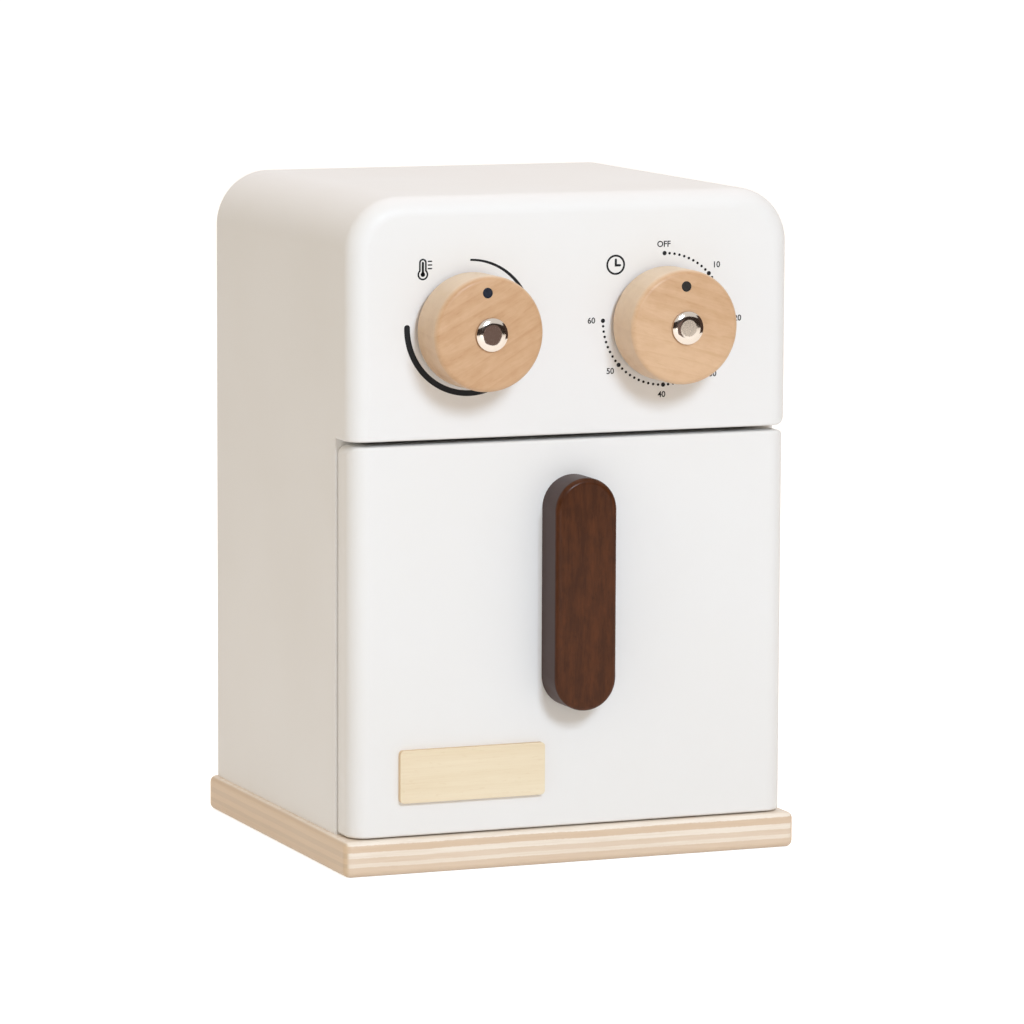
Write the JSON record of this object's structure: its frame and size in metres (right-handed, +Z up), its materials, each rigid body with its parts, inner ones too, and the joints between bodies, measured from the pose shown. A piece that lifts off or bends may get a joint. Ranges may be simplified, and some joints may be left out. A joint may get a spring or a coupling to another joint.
{
  "type": "toy air fryer",
  "caption": "White painted wooden toy air fryer on a plywood base, with a pull-out drawer behind an upright dark handle and two pale wooden dials that click round.",
  "frame": {"origin": "middle of the base board's underside", "axes": "+Z up, front with the dials and the drawer faces -Y, +X to the right as seen from the front"},
  "size_m": [0.1752, 0.171, 0.242],
  "materials": {
    "white_paint": "satin white paint on board",
    "base_plywood": "clear varnished plywood with bare plies at the edge",
    "inner_plywood": "sanded birch plywood",
    "inner_beech": "planed beech",
    "knob_wood": "clear lacquered pale wood",
    "dark_stained_wood": "dark brown stain under satin lacquer",
    "tile_wood": "sanded thin pale wood",
    "chrome": "polished chrome plate",
    "zinc_steel": "bright zinc plate",
    "spring_steel": "blank spring steel",
    "nylon": "natural nylon",
    "print_ink": "matt black printing ink"
  },
  "bodies": {
    "casing": {"base_board": "base_plywood", "base_screws": "zinc_steel", "left_side_panel": "white_paint", "right_side_panel": "white_paint", "top_panel": "white_paint", "back_panel": "white_paint", "divider_shelf": "inner_plywood", "left_guide_rail": "inner_beech", "right_guide_rail": "inner_beech", "control_panel": "white_paint", "temperature_bush": "nylon", "temperature_click_spring": "spring_steel", "temperature_spring_screws": "zinc_steel", "timer_bush": "nylon", "timer_click_spring": "spring_steel", "timer_spring_screws": "zinc_steel"},
    "drawer": {"drawer_front": "white_paint", "drawer_left_wall": "inner_plywood", "drawer_right_wall": "inner_plywood", "drawer_back_wall": "inner_plywood", "drawer_floor": "inner_plywood", "handle": "dark_stained_wood", "handle_screws": "zinc_steel", "front_tile": "tile_wood"},
    "temperature_dial": {"temperature_knob": "knob_wood", "temperature_bolt": "chrome", "temperature_sleeve": "zinc_steel", "temperature_click_wheel": "nylon", "temperature_washer": "zinc_steel", "temperature_nut": "zinc_steel"},
    "timer_dial": {"timer_knob": "knob_wood", "timer_bolt": "chrome", "timer_sleeve": "zinc_steel", "timer_click_wheel": "nylon", "timer_washer": "zinc_steel", "timer_nut": "zinc_steel"}
  },
  "joints": [
    {"name": "drawer_slide", "type": "slide", "parent": "casing", "child": "drawer", "axis": [0, -1, 0], "range_m": [0, 0.09]},
    {"name": "temperature_turn", "type": "hinge", "parent": "casing", "child": "temperature_dial", "pos_m": [-0.0402, -0.0725, 0.19455], "axis": [0, 1, 0], "continuous": true},
    {"name": "timer_turn", "type": "hinge", "parent": "casing", "child": "timer_dial", "pos_m": [0.0347, -0.0725, 0.19455], "axis": [0, 1, 0], "continuous": true}
  ]
}
